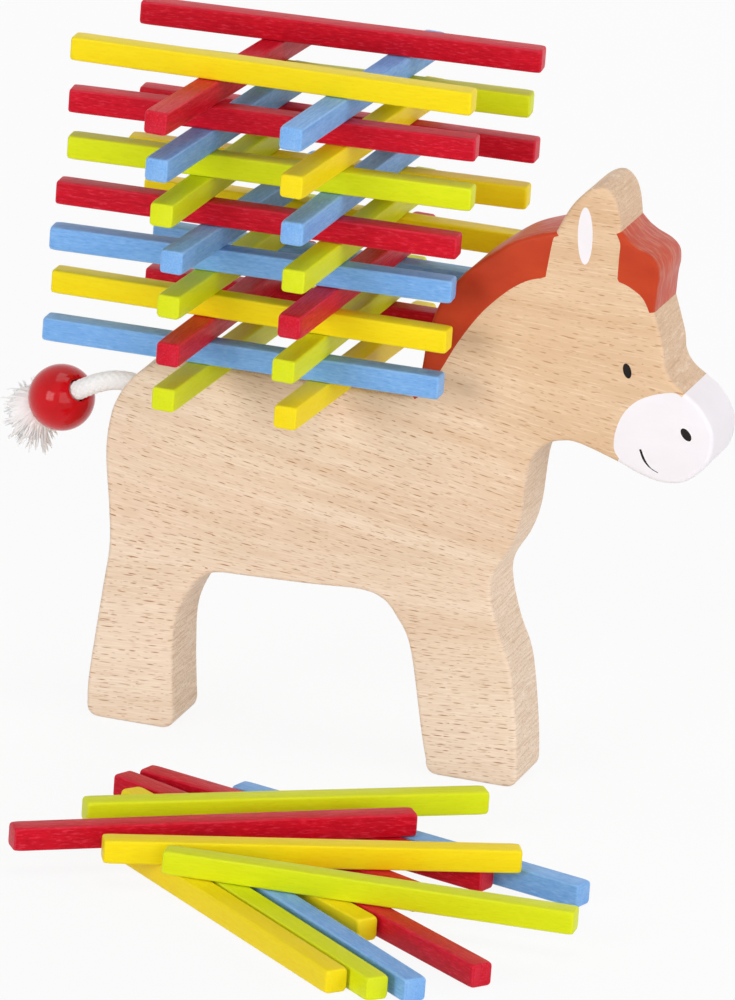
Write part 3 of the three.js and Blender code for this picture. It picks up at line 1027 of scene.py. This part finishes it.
def stick_levels(reach, end_rounding):
    """Sections along a stick as (place, shrink, share of edge), close together at its rounded ends."""
    levels = [(reach - share * WORN_END, 0.0, 0.0) for share in (1.0, 0.7, 0.45)]
    for step in range(STICK_BENDS + 1):
        angle = math.pi / 2 * step / STICK_BENDS
        levels.append((reach - end_rounding * (1 - math.sin(angle)), end_rounding * (1 - math.cos(angle)),
                       math.sin(2 * angle)))
    return ([(-x, shrink, share) for x, shrink, share in reversed(levels)]
            + [(reach * k / 4, 0.0, 0.0) for k in range(-3, 4)] + levels)


def make_stick(node, slot, rng):
    middle, way, reach, half = stick_place(node)
    side = Vector((-way.y, way.x, 0))
    up = Vector((0, 0, 1))
    rounding = rng.uniform(*CORNER_ROUNDING) * MM
    end_rounding = rng.uniform(*END_ROUNDING) * MM
    end_corner = rng.uniform(*END_CORNER) * MM
    start = Vector([rng.uniform(0, GRAIN_SPAN) for _ in range(3)])
    levels = stick_levels(reach, end_rounding)
    vertices, grain, edge = [], [], []
    for x, shrink, end_edge in levels:
        # Corners are rounder near the ends.
        near_end = max(0.0, 1 - (reach - abs(x)) / WORN_END)
        round_by = rounding + (end_corner - rounding) * near_end ** 2
        for a, b, share in stick_section(half, round_by, shrink):
            vertices.append(middle + x * way + a * side + b * up)
            grain.append(start + Vector((x, a, b)) / MM)
            edge.append(max(share, end_edge))
    faces = tube_faces(len(levels), 4 * (STICK_BENDS + 1))
    stick = add_piece("stick_" + node, vertices, faces, [STICK_STAINS[slot]], node, [node])
    stick.data.attributes.new("grain", "FLOAT_VECTOR", "POINT").data.foreach_set(
        "vector", [c for v in grain for c in v])
    stick.data.attributes.new("edge", "FLOAT", "POINT").data.foreach_set("value", edge)
    smooth(stick.data, sharp_degrees=40)


def make_sticks():
    rng = random.Random(41)
    for part in frame["record"]["subparts"]:
        if part["material_slot"] in STICK_STAINS:
            make_stick(part["node"], part["material_slot"], rng)


make_sticks()


# Stage

FLOOR_REACH = 4.0
FLOOR_LEVEL = -0.00005
FLOOR_GREY = 0.86
FLOOR_WHITENESS = 0.9
WORLD_LIGHT = 0.1
MIDDLE = (35, -30, 90)

# Name, place, width in metres, watts, and whether glossy surfaces mirror the lamp
LIGHTS = (
    ("key", (-1065, -2287, 763), 1.2, 27.8, True),
    ("front", (1205, -2240, 792), 1.8, 24.0, True),
    ("top", (35, -30, 2500), 1.6, 17.5, True),
    ("right", (2310, -336, 650), 1.6, 23.5, True),
    ("back", (-180, 2420, 670), 2.2, 42.0, False),
)


def seen_plainly(tree):
    """1 for camera, glossy and transmission rays, which see plain white surroundings, and 0 for others."""
    path = tree.nodes.new("ShaderNodeLightPath")
    seen = path.outputs["Is Camera Ray"]
    for name in ("Is Glossy Ray", "Is Transmission Ray"):
        either = tree.nodes.new("ShaderNodeMath")
        either.operation = "MAXIMUM"
        tree.links.new(seen, either.inputs[0])
        tree.links.new(path.outputs[name], either.inputs[1])
        seen = either.outputs[0]
    return seen


def make_floor():
    paint = Paint("floor")
    mesh = bpy.data.meshes.new("floor")
    corners = ((-1, -1), (1, -1), (1, 1), (-1, 1))
    mesh.from_pydata([(x * FLOOR_REACH, y * FLOOR_REACH, FLOOR_LEVEL) for x, y in corners], [],
                     [(0, 1, 2, 3)])
    paint.set(base_color=(FLOOR_GREY, FLOOR_GREY, FLOOR_GREY, 1.0), roughness=0.9)
    paint.shader.inputs["Specular IOR Level"].default_value = 0.0
    white = paint.add("Emission", {"Color": (1, 1, 1, 1), "Strength": 1.0})
    share = paint.math("MULTIPLY", seen_plainly(paint.tree), FLOOR_WHITENESS)
    mixed = paint.add("MixShader", {0: share, 1: paint.shader.outputs[0], 2: white})
    paint.tree.links.new(mixed, paint.tree.nodes["Material Output"].inputs["Surface"])
    mesh.materials.append(paint.material)
    floor = bpy.data.objects.new("floor", mesh)
    bpy.context.collection.objects.link(floor)


def make_world():
    world = bpy.data.worlds.new("studio")
    bpy.context.scene.world = world
    world.use_nodes = True
    tree = world.node_tree
    background = tree.nodes["Background"]
    background.inputs["Color"].default_value = (1, 1, 1, 1)
    strength = tree.nodes.new("ShaderNodeMapRange")
    strength.inputs["To Min"].default_value = WORLD_LIGHT
    strength.inputs["To Max"].default_value = 1.0
    tree.links.new(seen_plainly(tree), strength.inputs["Value"])
    tree.links.new(strength.outputs[0], background.inputs["Strength"])


def add_light(name, place, size, energy, mirrored):
    data = bpy.data.lights.new(name, "AREA")
    data.shape = "SQUARE"
    data.size = size
    data.energy = energy
    light = bpy.data.objects.new(name, data)
    bpy.context.collection.objects.link(light)
    light.location = at(*place)
    light.rotation_mode = "QUATERNION"
    light.rotation_quaternion = (at(*MIDDLE) - light.location).to_track_quat("-Z", "Y")
    light.visible_glossy = mirrored


make_floor()
make_world()
for lamp in LIGHTS:
    add_light(*lamp)
bpy.context.scene.view_settings.view_transform = "Standard"
